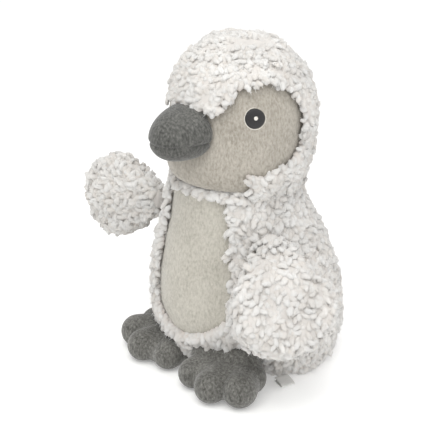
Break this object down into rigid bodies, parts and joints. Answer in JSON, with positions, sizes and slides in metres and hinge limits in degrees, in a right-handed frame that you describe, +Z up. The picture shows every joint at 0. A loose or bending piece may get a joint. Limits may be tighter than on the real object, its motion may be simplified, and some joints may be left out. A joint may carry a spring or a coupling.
{
  "type": "plush penguin",
  "caption": "Standing plush penguin with curly fleece body, round head, stuffed beak, short-pile face and belly, embroidered eyes, swinging wings and flexing toed feet.",
  "frame": {"origin": "centre of the base, on the surface the toy stands on", "axes": "+Z up, -Y the way the face looks, +X towards the toy's own left wing"},
  "size_m": [0.2629, 0.1801, 0.2818],
  "materials": {
    "sherpa_fleece": "matte",
    "face_pile": "matte",
    "belly_pile": "matte",
    "beak_pile": "matte",
    "foot_pile": "matte",
    "eye_satin": "satin",
    "white_thread": "satin",
    "label_tape": "satin",
    "fibre_filling": "matte",
    "pellet_plastic": "matte",
    "pouch_cotton": "matte",
    "base_cloth": "matte"
  },
  "bodies": {
    "body": {"body_filling": "fibre_filling", "pellet_pouch": "pouch_cotton", "pellets": "pellet_plastic", "base_panel": "base_cloth", "belly_panel": "belly_pile", "body_fleece_left": "sherpa_fleece", "body_fleece_right": "sherpa_fleece", "care_label": "label_tape"},
    "neck": {"neck_filling": "fibre_filling"},
    "head": {"head_filling": "fibre_filling", "hood_left": "sherpa_fleece", "hood_right": "sherpa_fleece", "face_panel": "face_pile", "beak_upper": "beak_pile", "beak_lower": "beak_pile", "beak_filling": "fibre_filling", "eye_left": "eye_satin", "eye_left_rim": "white_thread", "eye_left_glint": "white_thread", "eye_right": "eye_satin", "eye_right_rim": "white_thread", "eye_right_glint": "white_thread"},
    "wing_left": {"wing_left_outer": "sherpa_fleece", "wing_left_inner": "sherpa_fleece", "wing_left_filling": "fibre_filling"},
    "wing_right": {"wing_right_outer": "sherpa_fleece", "wing_right_inner": "sherpa_fleece", "wing_right_filling": "fibre_filling"},
    "foot_left": {"foot_left_upper": "foot_pile", "foot_left_sole": "foot_pile", "foot_left_filling": "fibre_filling"},
    "foot_right": {"foot_right_upper": "foot_pile", "foot_right_sole": "foot_pile", "foot_right_filling": "fibre_filling"}
  },
  "joints": [
    {"name": "head_turn", "type": "hinge", "parent": "body", "child": "neck", "pos_m": [0, -0.01155, 0.132], "axis": [0, 0, 1], "range_deg": [-20, 20], "stiffness_Nm_per_rad": 1},
    {"name": "head_nod", "type": "hinge", "parent": "neck", "child": "head", "pos_m": [0, -0.01155, 0.132], "axis": [1, 0, 0], "range_deg": [-8, 10], "stiffness_Nm_per_rad": 4},
    {"name": "wing_left_raise", "type": "hinge", "parent": "body", "child": "wing_left", "pos_m": [0.0661, -0.03773, 0.126], "axis": [0.661, -0.666, -0.3455], "range_deg": [0, 90], "stiffness_Nm_per_rad": 0.5},
    {"name": "wing_right_raise", "type": "hinge", "parent": "body", "child": "wing_right", "pos_m": [-0.0661, -0.03773, 0.126], "axis": [0.661, 0.666, 0.3455], "range_deg": [-85, 5], "stiffness_Nm_per_rad": 0.5},
    {"name": "foot_left_flex", "type": "hinge", "parent": "body", "child": "foot_left", "pos_m": [0.04, -0.0585, 0.012], "axis": [-0.9659, -0.2588, 0], "range_deg": [0, 18], "stiffness_Nm_per_rad": 0.8},
    {"name": "foot_right_flex", "type": "hinge", "parent": "body", "child": "foot_right", "pos_m": [-0.04, -0.0585, 0.012], "axis": [-0.9659, 0.2588, 0], "range_deg": [0, 18], "stiffness_Nm_per_rad": 0.8}
  ]
}
